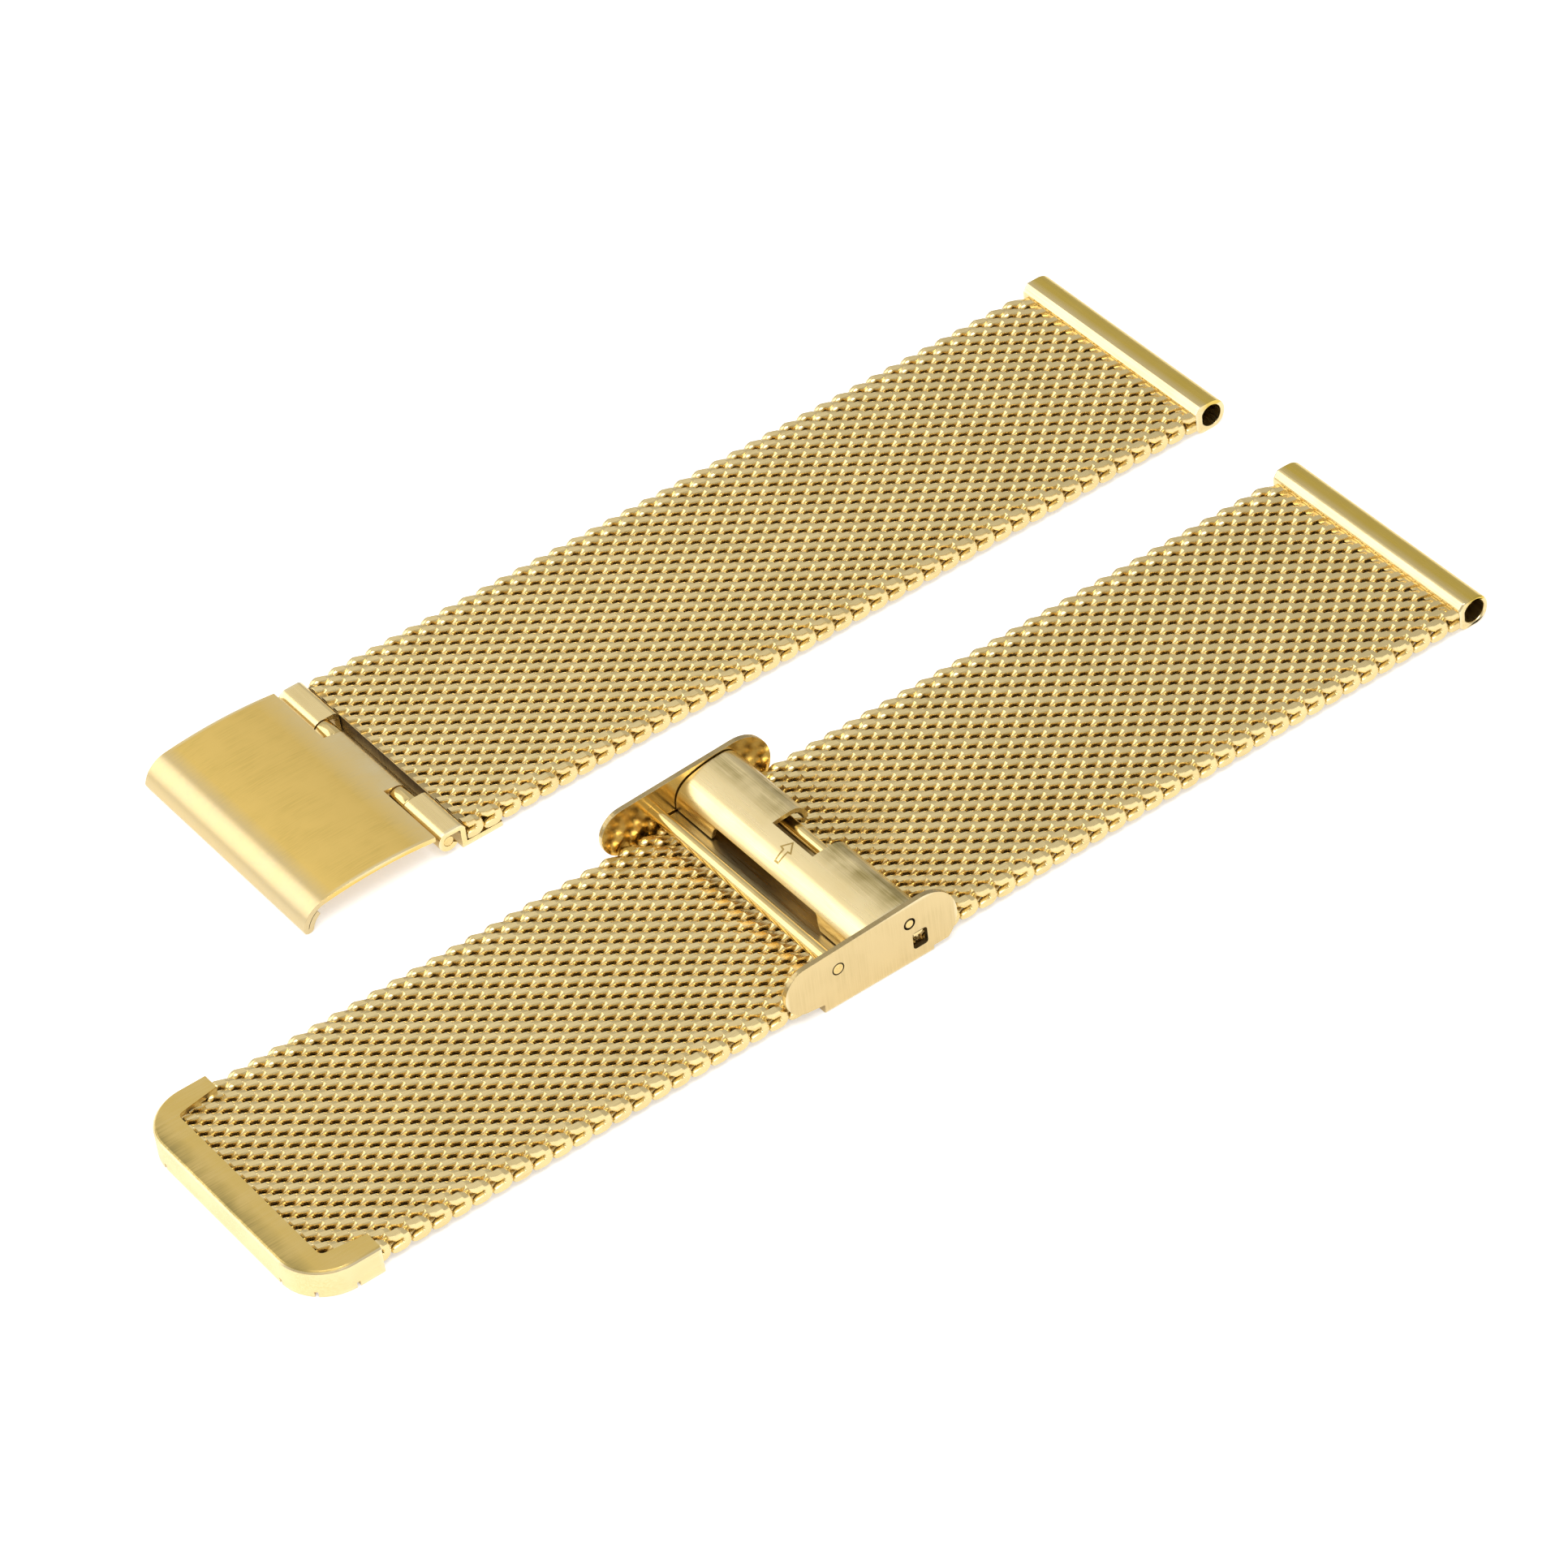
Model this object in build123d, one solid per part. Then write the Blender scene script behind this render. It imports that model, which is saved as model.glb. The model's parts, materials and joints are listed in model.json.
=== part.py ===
from build123d import *
import math
import os

# Milanese mesh strap in two parts, laid on a table side by side with their outer faces up.
# Sizes are in millimetres. X runs along the straps towards the lug tubes, Y across them and Z up.
# Strap A carries the fold-over cover and the hook, strap B the sliding clasp and the tail cap.

# Mesh: flattened wire spirals that run across the strap, each linked through its neighbours
band_width = 20.0
mesh_thickness = 1.4
spiral_pitch = 0.785
turn_pitch = 1.43
ground_flat = 0.46
spiral_lap = 0.05
end_loop_bevel = 0.42
end_strip = 0.55
end_strip_step = 0.2
flex_gap = 0.08
rows_per_link = 9
links_in_a = 9
links_in_tail_side = 4
rows_in_tail_link = 11
rows_in_clasp_link = 20
links_in_lug_side = 6

# Layout on the table
table_gap = 0.45
strap_pitch = 29.05
strap_offset = 0.47

# Sheet, pins and running fits
sheet = 0.4
thin_sheet = 0.35
pin_clearance = 0.03
pin_seat = 0.01
side_gap = 0.08
overrun = 1.0

# Lug tube: sheet rolled to a D with a ground top and a bright bevel on the mesh side
tube_width = 2.6
tube_height = 2.4
tube_bevel = 0.42
tube_bevel_drop = 0.55
tube_toe = 0.7
tube_toe_rise = 0.6
bore_radius = 0.88
bore_wall = 0.36
bore_flat = 0.8

# Connector: one sheet, brazed under the mesh end and curled round the hinge pin
connector_lap = 2.8
hinge_to_mesh = 1.5
hinge_height = 1.25
hinge_pin_radius = 0.4
knuckle_radius = 0.8
outer_knuckle = 4.5
riser_gap = 0.1
riser_bend = 0.5
curl_angle = 235.0

# Hook plate: two narrow rings on the same pin and a hook that drops over the cross bar
hook_knuckle = 1.64
hook_ring_radius = 0.76
hook_reach = 2.6
hook_drop = 0.25
hook_clearance = 0.07
hook_sweep_angle = 205.0
hook_start_angle = -8.0

# Cover plate: crowned sheet with a curved free end and a folded lip
cover_crown_length = 10.2
cover_rise_angle = 10.0
cover_fall_angle = 8.0
cover_end_angle = 75.0
cover_end_radius = 2.25
cover_curl_angle = 205.0
cover_slot_gap = 0.16
lip_length = 1.1
lip_gap = 0.04

# Slider: a channel folded from one sheet, whose side plates rise towards the flap's hinge
slider_clearance = 0.15
slider_length = 14.0
slider_to_tube = 57.95
front_end_radius = 1.9
front_end_height = 2.85
back_end_radius = 2.7
back_end_height = 2.45
plate_lift = 0.45
base_start = 2.95
base_end = 11.9
fold_round = 0.25

# Cross bar, riveted through both side plates
bar_radius = 0.5
bar_from_front = 4.3
bar_height = 3.2
rivet_radius = 0.42
rivet_groove = 0.05

# Flap pin: its thinner ends turn in the side plates
flap_pin_radius = 0.5
flap_pin_from_front = 10.17
flap_pin_height = 3.46
pivot_radius = 0.36
pivot_hole_radius = 0.45

# Side windows and the clamp plate whose lugs sit in them
window_from_front = 10.3
window_length = 1.2
window_bottom = 1.05
window_height = 1.4
window_round = 0.25
clamp_height = 1.92
clamp_sheet = 0.28
clamp_front = 5.15
clamp_back = 11.4
clamp_lug = 0.8
clamp_side = 0.12

# Locking flap: arched sheet with cheeks that turn on the flap pin
flap_side = 0.1
flap_front = 6.05
flap_front_bottom = 2.35
flap_shoulder_height = 4.08
flap_shoulder_round = 1.85
flap_crown_from_front = 8.6
flap_crown_height = 4.86
flap_crown_round = 9.0
flap_back_round = 1.25
flap_back = 11.45
flap_top = 4.98
flap_back_bottom = 3.6
ear_width = 3.8
ear_spread = 0.55
hook_window_rise = 1.15
hook_window_round = 0.4
driver_notch_width = 4.5
driver_notch_front = 8.6
cheek_radius = 0.98
cheek_front = 7.6
cam_radius = 1.21
cam_half_angle = 16.0

# Tail cap: sheet folded round the rounded tail of the mesh
cap_sheet = 0.4
cap_clearance = 0.02
cap_corner_radius = 3.6
cap_arm_reach = 5.6
cap_end_lip = 2.3
cap_arm_lip = 1.55
cap_arm_root = 2.05
cap_inner_round = 0.45
cap_edge_bevel = 0.2
cap_slit = 0.26
cap_slit_depth = 0.42
cap_slits_per_corner = 3

# Heights and places worked out from the sizes above
mesh_bottom = table_gap
mesh_middle = mesh_bottom + mesh_thickness / 2
mesh_top = mesh_bottom + mesh_thickness
row_stagger = turn_pitch / 4
half_band = band_width / 2
rows_in_a = links_in_a * rows_per_link
rows_tail_side = rows_in_tail_link + links_in_tail_side * rows_per_link
rows_in_b = rows_tail_side + rows_in_clasp_link + links_in_lug_side * rows_per_link
mesh_a_length = rows_in_a * spiral_pitch
mesh_b_length = rows_in_b * spiral_pitch
slider_gap = band_width + 2 * slider_clearance
slider_width = slider_gap + 2 * sheet
cap_wall = cap_sheet + cap_clearance
whole_length = mesh_b_length + cap_wall + strap_offset + tube_width
tube_a_x = whole_length / 2 - tube_width
tube_b_x = tube_a_x - strap_offset
mesh_a_x = tube_a_x - mesh_a_length
mesh_b_x = tube_b_x - mesh_b_length
band_a_y = (strap_pitch + slider_width / 2 - half_band) / 2
band_b_y = band_a_y - strap_pitch
hinge_x = mesh_a_x - hinge_to_mesh
slider_x = tube_b_x - slider_to_tube
cap_tip_x = mesh_b_x - cap_wall
tail_corner_radius = cap_corner_radius - cap_wall


def across(section, middle_y, width):
    """Extrudes a section drawn in X and Z across the strap, centred on middle_y."""
    return extrude(Plane.XZ.offset(-middle_y - width / 2) * section, width)


def block(x_start, x_end, middle_y, width, z_start, z_end):
    """A plain block given by its limits along X and Z and its width across the strap."""
    middle = Pos((x_start + x_end) / 2, (z_start + z_end) / 2)
    return across(middle * Rectangle(x_end - x_start, z_end - z_start), middle_y, width)


def disc(x, z, radius, middle_y, width):
    """A round bar across the strap."""
    return across(Pos(x, z) * Circle(radius), middle_y, width)


def sheet_section(path, thickness, side):
    """The section of a folded sheet, whose outer face follows the path."""
    return make_face(offset(path, amount=thickness, side=side, closed=True).edges())


def ring_sector(x, z, outer, inner, start, sweep):
    """A section of a curled sheet: part of a ring, by its start angle and sweep in degrees."""
    outer_arc = CenterArc((x, z), outer, start, sweep)
    inner_arc = CenterArc((x, z), inner, start, sweep)
    first_edge = Line(inner_arc @ 0, outer_arc @ 0)
    last_edge = Line(outer_arc @ 1, inner_arc @ 1)
    return make_face([first_edge, outer_arc, last_edge, inner_arc])


def spiral_section(x):
    """Section of one flattened spiral: ground flats above and below, widest at mid-height."""
    half_waist = spiral_pitch / 2 + spiral_lap
    half_flat = ground_flat / 2
    half_high = mesh_thickness / 2
    return make_face(Polyline(
        (x - half_waist, mesh_middle), (x - half_flat, mesh_middle - half_high),
        (x + half_flat, mesh_middle - half_high), (x + half_waist, mesh_middle),
        (x + half_flat, mesh_middle + half_high), (x - half_flat, mesh_middle + half_high), close=True))


def row_envelope(x_start, x_end, middle_y):
    """Space of the rows that are shifted alike: their end loops slope down at the edges."""
    half = half_band - row_stagger
    section = make_face(Polyline(
        (-half, mesh_bottom), (half, mesh_bottom),
        (half, mesh_top - end_loop_bevel), (half - end_loop_bevel, mesh_top),
        (-half + end_loop_bevel, mesh_top), (-half, mesh_top - end_loop_bevel), close=True))
    return extrude(Plane.YZ.offset(x_start) * Pos(middle_y, 0) * section, x_end - x_start)


def mesh_link(start_x, first_row, rows, middle_y, left_free, right_free):
    """One stiff length of mesh, of so many spirals, with every other spiral half a turn along."""
    x_start = start_x + first_row * spiral_pitch
    x_end = x_start + rows * spiral_pitch
    link = None
    for shift in (0, 1):
        bars = [
            across(spiral_section(start_x + (row + 0.5) * spiral_pitch), middle_y, 2 * band_width)
            for row in range(first_row, first_row + rows) if row % 2 == shift]
        direction = 1 if shift else -1
        envelope = row_envelope(x_start - overrun, x_end + overrun, middle_y + direction * row_stagger)
        staggered = Part() + [bar & envelope for bar in bars]
        link = staggered if link is None else link + staggered
    cut_start = x_start + (flex_gap if left_free else 0)
    cut_end = x_end - (flex_gap if right_free else 0)
    low = mesh_bottom - overrun
    high = mesh_top + overrun
    return link & block(cut_start, cut_end, middle_y, 2 * band_width, low, high)


def ground_strip(x_end, inward, middle_y):
    """The last spiral of a mesh end, soldered solid and ground flush where it meets the metal."""
    x_inner = x_end + inward * end_strip
    return block(
        min(x_end, x_inner), max(x_end, x_inner), middle_y, band_width - 2 * row_stagger,
        mesh_bottom, mesh_top - end_strip_step)


def lug_tube(front_x, middle_y):
    """Tube for the spring bar: flat top, bevel towards the mesh, round back, bore with one flat."""
    back_radius = tube_height / 2
    back_centre = front_x + tube_width - back_radius
    bevel_foot = tube_height - tube_bevel_drop
    outline = make_face([
        Line((front_x, tube_toe_rise), (front_x, bevel_foot)),
        Line((front_x, bevel_foot), (front_x + tube_bevel, tube_height)),
        Line((front_x + tube_bevel, tube_height), (back_centre, tube_height)),
        CenterArc((back_centre, back_radius), back_radius, 90, -180),
        Line((back_centre, 0), (front_x + tube_toe, 0)),
        RadiusArc((front_x + tube_toe, 0), (front_x, tube_toe_rise), tube_toe)])
    bore_x = front_x + tube_width - bore_wall - bore_radius
    bore = Pos(bore_x, back_radius) * Circle(bore_radius)
    keep = Pos(bore_x - bore_flat + tube_width, back_radius) * Rectangle(2 * tube_width, 2 * tube_height)
    return across(outline - (bore & keep), middle_y, band_width)


def knuckle_spans():
    """Places across the strap of the hinge's knuckles: outer, hook and cover, from the middle."""
    outer_inside = half_band - outer_knuckle
    hook_outside = outer_inside - side_gap
    hook_inside = hook_outside - hook_knuckle
    cover_half = hook_inside - side_gap
    return outer_inside, hook_outside, hook_inside, cover_half


def clasp_connector():
    """Sheet under the mesh end that rises, turns over and curls down round the hinge pin."""
    low = mesh_bottom - sheet
    riser_face = hinge_x + hinge_to_mesh - riser_gap
    knuckle_top = hinge_height + knuckle_radius
    riser = FilletPolyline(
        (riser_face, low), (riser_face, knuckle_top), (hinge_x, knuckle_top), radius=riser_bend)
    riser_section = sheet_section(riser, sheet, Side.LEFT)
    curl = ring_sector(
        hinge_x, hinge_height, knuckle_radius, hinge_pin_radius + pin_seat, 90, curl_angle)
    foot = block(riser_face - sheet, mesh_a_x + connector_lap, band_a_y, band_width, low, low + sheet)
    knuckle = riser_section + curl
    outer_inside = knuckle_spans()[0]
    part = foot
    for direction in (-1, 1):
        middle = band_a_y + direction * (outer_inside + outer_knuckle / 2)
        part = part + across(knuckle, middle, outer_knuckle)
    return part


def hinge_pin():
    """Pin through all the knuckles, flush with the strap's edges."""
    return disc(hinge_x, hinge_height, hinge_pin_radius, band_a_y, band_width)


def hook_plate():
    """Two rings on the pin, a short plate and a hook whose mouth opens downwards."""
    hook_outside, hook_inside = knuckle_spans()[1:3]
    eye_radius = hinge_pin_radius + pin_clearance
    ring = Pos(hinge_x, hinge_height) * (Circle(hook_ring_radius) - Circle(eye_radius))
    grip_x = hinge_x - hook_reach
    grip_z = hinge_height - hook_drop
    inner = bar_radius + hook_clearance
    outer = inner + thin_sheet
    hook = ring_sector(grip_x, grip_z, outer, inner, hook_start_angle, hook_sweep_angle)
    neck_end = grip_x + inner + thin_sheet / 2
    neck_start = hinge_x - knuckle_radius - cover_slot_gap
    plate = block(neck_end, neck_start, band_a_y, 2 * hook_outside, grip_z, grip_z + thin_sheet)
    part = across(hook, band_a_y, 2 * hook_outside) + plate
    arm_start = hinge_x - eye_radius - thin_sheet / 2
    for direction in (-1, 1):
        middle = band_a_y + direction * (hook_inside + hook_knuckle / 2)
        part = part + across(ring, middle, hook_knuckle)
        part = part + block(neck_end, arm_start, middle, hook_knuckle, grip_z, grip_z + thin_sheet)
    return part


def cover_path():
    """Outer face of the cover from the hinge to the bottom of its curved free end."""
    start = Vector(
        hinge_x + knuckle_radius * math.sin(math.radians(cover_rise_angle)),
        hinge_height + knuckle_radius * math.cos(math.radians(cover_rise_angle)))
    rise = math.radians(cover_rise_angle)
    fall = math.radians(cover_fall_angle)
    end = math.radians(cover_end_angle)
    crown_radius = cover_crown_length / (math.sin(rise) + math.sin(fall))
    crown_x = start.X - crown_radius * math.sin(rise)
    crown_z = start.Y - crown_radius * math.cos(rise)
    crown_sweep = cover_rise_angle + cover_fall_angle
    crown = CenterArc((crown_x, crown_z), crown_radius, 90 - cover_rise_angle, crown_sweep)
    turn = crown @ 1
    turn_x = turn.X + cover_end_radius * math.sin(fall)
    turn_z = turn.Y - cover_end_radius * math.cos(fall)
    curve_sweep = cover_end_angle - cover_fall_angle
    curve = CenterArc((turn_x, turn_z), cover_end_radius, 90 + cover_fall_angle, curve_sweep)
    return Wire([crown, curve]), turn_x, turn_z, end


def cover_plate():
    """Crowned cover: a centre knuckle on the pin, slots for the others and a folded lip."""
    cover_half = knuckle_spans()[3]
    path, turn_x, turn_z, end = cover_path()
    skin = sheet_section(path, sheet, Side.LEFT)
    fold_out = cover_end_radius
    fold_in = fold_out - 2 * sheet - lip_gap
    fold_mid = (fold_out + fold_in) / 2
    fold_x = turn_x - fold_mid * math.sin(end)
    fold_z = turn_z + fold_mid * math.cos(end)
    fold = ring_sector(
        fold_x, fold_z, (fold_out - fold_in) / 2, lip_gap / 2, 90 + cover_end_angle, 180)
    lip_sweep = math.degrees(lip_length / fold_in)
    lip = ring_sector(
        turn_x, turn_z, fold_in + sheet, fold_in, 90 + cover_end_angle - lip_sweep, lip_sweep)
    plate = across(skin + fold + lip, band_a_y, band_width)
    slot_x = hinge_x - knuckle_radius - cover_slot_gap
    floor_z = hinge_height - 2 * knuckle_radius
    roof_z = hinge_height + 2 * knuckle_radius
    for direction in (-1, 1):
        width = half_band - cover_half + overrun
        middle = band_a_y + direction * (cover_half + width / 2)
        plate = plate - block(slot_x, hinge_x + 2 * knuckle_radius, middle, width, floor_z, roof_z)
    curl = ring_sector(
        hinge_x, hinge_height, knuckle_radius, hinge_pin_radius + pin_clearance,
        -cover_curl_angle + 90 - cover_rise_angle, cover_curl_angle)
    return plate + across(curl, band_a_y, 2 * cover_half)


def side_plate_section():
    """Side plate: two round ends of unlike size joined by straight edges, with the fold below."""
    front = Pos(slider_x + front_end_radius, front_end_height) * Circle(front_end_radius)
    back = Pos(slider_x + slider_length - back_end_radius, back_end_height) * Circle(back_end_radius)
    hull = make_hull((front + back).edges())
    over_box = Rectangle(2 * slider_length, slider_length)
    over = Pos(slider_x + slider_length / 2, plate_lift + slider_length / 2) * over_box
    base_length = base_end - base_start
    base_box = Rectangle(base_length, back_end_height)
    base = Pos(slider_x + base_start + base_length / 2, back_end_height / 2) * base_box
    return (hull & over) + base


def slider_housing():
    """Channel of one sheet: base under the mesh and two side plates with holes and windows."""
    section = side_plate_section()
    holes = Pos(slider_x + bar_from_front, bar_height) * Circle(rivet_radius + rivet_groove)
    holes += Pos(slider_x + flap_pin_from_front, flap_pin_height) * Circle(pivot_hole_radius)
    holes += Pos(slider_x + window_from_front + window_length / 2, window_bottom + window_height / 2) * (
        RectangleRounded(window_length, window_height, window_round))
    plate = section - holes
    base = block(slider_x + base_start, slider_x + base_end, band_b_y, slider_width, 0, sheet)
    part = base
    for direction in (-1, 1):
        middle = band_b_y + direction * (slider_gap / 2 + sheet / 2)
        part = part + across(plate, middle, sheet)
    low_edges = part.edges().filter_by(Axis.X).group_by(Axis.Z)[0]
    folds = [low_edges.sort_by(Axis.Y)[0], low_edges.sort_by(Axis.Y)[-1]]
    return fillet(folds, fold_round)


def cross_bar():
    """Bar that the hook catches, with thinner rivet ends flush with the side plates."""
    bar = disc(slider_x + bar_from_front, bar_height, bar_radius, band_b_y, slider_gap)
    return bar + disc(slider_x + bar_from_front, bar_height, rivet_radius, band_b_y, slider_width)


def flap_pin():
    """Pin that the flap turns on, with thinner ends in the side plates."""
    pin = disc(slider_x + flap_pin_from_front, flap_pin_height, flap_pin_radius, band_b_y, slider_gap)
    return pin + disc(slider_x + flap_pin_from_front, flap_pin_height, pivot_radius, band_b_y, slider_width)


def clamp_plate():
    """Plate on the mesh that the flap's cams press down, with lugs in the side windows."""
    width = slider_gap - 2 * clamp_side
    top = clamp_height + clamp_sheet
    part = block(slider_x + clamp_front, slider_x + clamp_back, band_b_y, width, clamp_height, top)
    lug_start = slider_x + window_from_front + (window_length - clamp_lug) / 2
    return part + block(lug_start, lug_start + clamp_lug, band_b_y, slider_width - sheet, clamp_height, top)


def flap_path():
    """Outer face of the flap: upright front, rising crown and a round back over the pin."""
    return FilletPolyline(
        (slider_x + flap_front, flap_front_bottom), (slider_x + flap_front, flap_shoulder_height),
        (slider_x + flap_crown_from_front, flap_crown_height), (slider_x + flap_back, flap_top),
        (slider_x + flap_back, flap_back_bottom),
        radius=[flap_shoulder_round, flap_crown_round, flap_back_round])


def locking_flap():
    """Arched flap with a long front window for the hook and a notch for a screwdriver."""
    width = slider_gap - 2 * flap_side
    skin = across(sheet_section(flap_path(), thin_sheet, Side.RIGHT), band_b_y, width)
    half_foot = width / 2 - ear_width
    half_head = half_foot - ear_spread
    foot_z = flap_front_bottom - hook_window_round
    head_z = flap_front_bottom + hook_window_rise
    head = [(half_foot, foot_z), (half_head, head_z), (-half_head, head_z), (-half_foot, foot_z)]
    outline = make_face(FilletPolyline(*head, radius=hook_window_round, close=True))
    window_start = slider_x + flap_front - overrun
    hook_window = extrude(
        Plane.YZ.offset(window_start) * Pos(band_b_y, 0) * outline, overrun + flap_shoulder_round)
    skin = skin - hook_window
    notch = block(
        slider_x + driver_notch_front, slider_x + flap_back + overrun, band_b_y, driver_notch_width,
        flap_back_bottom - overrun, flap_top + overrun)
    skin = skin - notch
    pin_x = slider_x + flap_pin_from_front
    eye_radius = flap_pin_radius + pin_clearance
    cam = ring_sector(
        pin_x, flap_pin_height, cam_radius, eye_radius, 270 - cam_half_angle, 2 * cam_half_angle)
    boss = Pos(pin_x, flap_pin_height) * Circle(cheek_radius)
    cheek_fill = make_face(Polyline(
        (slider_x + cheek_front, flap_pin_height), (pin_x, flap_pin_height - cheek_radius),
        (pin_x + cheek_radius, flap_pin_height), (pin_x + cheek_radius, flap_shoulder_height),
        (slider_x + cheek_front, flap_shoulder_height), close=True))
    cheek = (boss + cheek_fill + cam) - Pos(pin_x, flap_pin_height) * Circle(eye_radius)
    part = skin
    for direction in (-1, 1):
        middle = band_b_y + direction * (width - thin_sheet) / 2
        part = part + across(cheek, middle, thin_sheet)
    return part


def tail_outline(tip_x, end_x, half_width, corner):
    """Plan of a strap tail with two round corners, from its tip to end_x."""
    length = end_x - tip_x + corner
    whole = Pos(tip_x + length / 2, band_b_y) * RectangleRounded(length, 2 * half_width, corner)
    keep = Pos((tip_x + end_x) / 2, band_b_y) * Rectangle(end_x - tip_x, 4 * half_width)
    return whole & keep


def tail_cap():
    """Cap folded over the tail: two lips, a wall round three sides and slits at the bends."""
    half = half_band + cap_wall
    arm_end = cap_tip_x + cap_arm_reach
    low = mesh_bottom - cap_sheet
    high = mesh_top + cap_sheet
    outline = tail_outline(cap_tip_x, arm_end, half, cap_corner_radius)
    inner = make_face(FilletPolyline(
        (arm_end + overrun, band_b_y - half + cap_arm_lip), (arm_end, band_b_y - half + cap_arm_lip),
        (cap_tip_x + cap_end_lip, band_b_y - half + cap_arm_root),
        (cap_tip_x + cap_end_lip, band_b_y + half - cap_arm_root),
        (arm_end, band_b_y + half - cap_arm_lip), (arm_end + overrun, band_b_y + half - cap_arm_lip),
        radius=cap_inner_round, close=True))
    shell = extrude(Plane.XY.offset(low) * outline, high - low)
    rim = shell.faces().sort_by(Axis.Z)[-1].edges()
    shell = chamfer(rim.filter_by(lambda e: e.center().X < arm_end - cap_edge_bevel), cap_edge_bevel)
    shell = shell - extrude(Plane.XY.offset(low - overrun) * inner, high - low + 2 * overrun)
    pocket = tail_outline(mesh_b_x, arm_end + overrun, half_band, tail_corner_radius)
    part = shell - extrude(Plane.XY.offset(mesh_bottom) * pocket, mesh_thickness)
    centre_x = cap_tip_x + cap_corner_radius
    for direction in (-1, 1):
        centre_y = band_b_y + direction * (half - cap_corner_radius)
        for number in range(cap_slits_per_corner):
            angle = 90 * number / (cap_slits_per_corner - 1)
            slit = Rectangle(2 * cap_slit_depth + 2 * cap_wall, cap_slit)
            turned = Rot(0, 0, 180 - direction * angle) * Pos(cap_corner_radius, 0) * slit
            plan = Pos(centre_x, centre_y) * turned
            part = part - extrude(Plane.XY.offset(low - overrun) * plan, overrun + cap_slit_depth)
    return part


def mesh_a():
    """The links of strap A, from the connector to its lug tube."""
    links = {}
    for number in range(links_in_a):
        first = number * rows_per_link
        link = mesh_link(mesh_a_x, first, rows_per_link, band_a_y, number > 0, number < links_in_a - 1)
        if number == 0:
            link = link + ground_strip(mesh_a_x, 1, band_a_y)
        if number == links_in_a - 1:
            link = link + ground_strip(tube_a_x, -1, band_a_y)
        links[f"mesh_a_{number + 1}"] = link
    return links


def mesh_b():
    """The links of strap B, from the tail cap to its lug tube, longer under the slider."""
    counts = [rows_in_tail_link] + links_in_tail_side * [rows_per_link]
    counts += [rows_in_clasp_link] + links_in_lug_side * [rows_per_link]
    links = {}
    first = 0
    for number, rows in enumerate(counts):
        last_link = number == len(counts) - 1
        link = mesh_link(mesh_b_x, first, rows, band_b_y, number > 0, not last_link)
        if number == 0:
            tail = tail_outline(mesh_b_x, mesh_b_x + mesh_b_length / 2, half_band, tail_corner_radius)
            room = extrude(Plane.XY.offset(mesh_bottom - overrun) * tail, mesh_thickness + 2 * overrun)
            link = link & room
        if last_link:
            link = link + ground_strip(tube_b_x, -1, band_b_y)
        links[f"mesh_b_{number + 1}"] = link
        first += rows
    return links


def all_parts():
    """Every piece of both straps by name."""
    parts = {"lug_tube_a": lug_tube(tube_a_x, band_a_y), "lug_tube_b": lug_tube(tube_b_x, band_b_y)}
    parts["clasp_connector"] = clasp_connector()
    parts["hinge_pin"] = hinge_pin()
    parts["cover_plate"] = cover_plate()
    parts["hook_plate"] = hook_plate()
    parts["slider_housing"] = slider_housing()
    parts["cross_bar"] = cross_bar()
    parts["flap_pin"] = flap_pin()
    parts["clamp_plate"] = clamp_plate()
    parts["locking_flap"] = locking_flap()
    parts["tail_cap"] = tail_cap()
    parts.update(mesh_a())
    parts.update(mesh_b())
    return parts


os.makedirs("parts", exist_ok=True)
for name, shape in all_parts().items():
    export_step(shape, f"parts/{name}.step")
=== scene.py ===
# %% [markdown]
# A Milanese mesh watch strap in two parts, gold coloured, with a fold-over clasp and a slider that
# locks on the mesh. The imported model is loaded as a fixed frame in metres. It gives the place of
# each solid, and every piece made here goes where its solid is, so nothing is fitted by eye.

# %% Load the frame
import bpy
import json
import math
from mathutils import Matrix, Vector


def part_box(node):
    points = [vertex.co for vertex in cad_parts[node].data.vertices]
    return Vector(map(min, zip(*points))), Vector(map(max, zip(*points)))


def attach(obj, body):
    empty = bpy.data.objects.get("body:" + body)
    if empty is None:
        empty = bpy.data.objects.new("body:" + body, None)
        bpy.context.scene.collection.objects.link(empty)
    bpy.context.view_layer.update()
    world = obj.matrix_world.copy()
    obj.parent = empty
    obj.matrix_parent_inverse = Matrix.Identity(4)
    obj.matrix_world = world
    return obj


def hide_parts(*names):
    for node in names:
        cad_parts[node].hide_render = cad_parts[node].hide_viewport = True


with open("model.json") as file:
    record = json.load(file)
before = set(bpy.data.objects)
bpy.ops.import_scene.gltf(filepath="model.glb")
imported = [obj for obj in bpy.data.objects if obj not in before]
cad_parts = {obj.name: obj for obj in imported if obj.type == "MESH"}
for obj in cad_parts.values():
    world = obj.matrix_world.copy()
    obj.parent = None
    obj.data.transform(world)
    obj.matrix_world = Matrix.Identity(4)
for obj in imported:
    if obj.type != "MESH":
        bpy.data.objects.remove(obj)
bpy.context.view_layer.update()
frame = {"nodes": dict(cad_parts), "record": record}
MM = 0.001

# %% [markdown]
# The straps are seen from the side of the tail and from above, through a long lens, with the camera
# a little rolled. A camera can be aimed by a constraint, but typed angles keep the same view in
# every run. They are turned into the camera's own three axes, from which its place follows.

# %% Camera
CAMERA_AZIMUTH = math.radians(-31.632)
CAMERA_ELEVATION = math.radians(41.634)
CAMERA_ROLL = math.radians(-7.416)
CAMERA_DISTANCE = 442.871 * MM
CAMERA_RIGHT = 4.887 * MM
CAMERA_UP = -1.245 * MM
LENS = 149.07
SENSOR = 36.0
CLIP_START = 0.01  # metres

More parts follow.
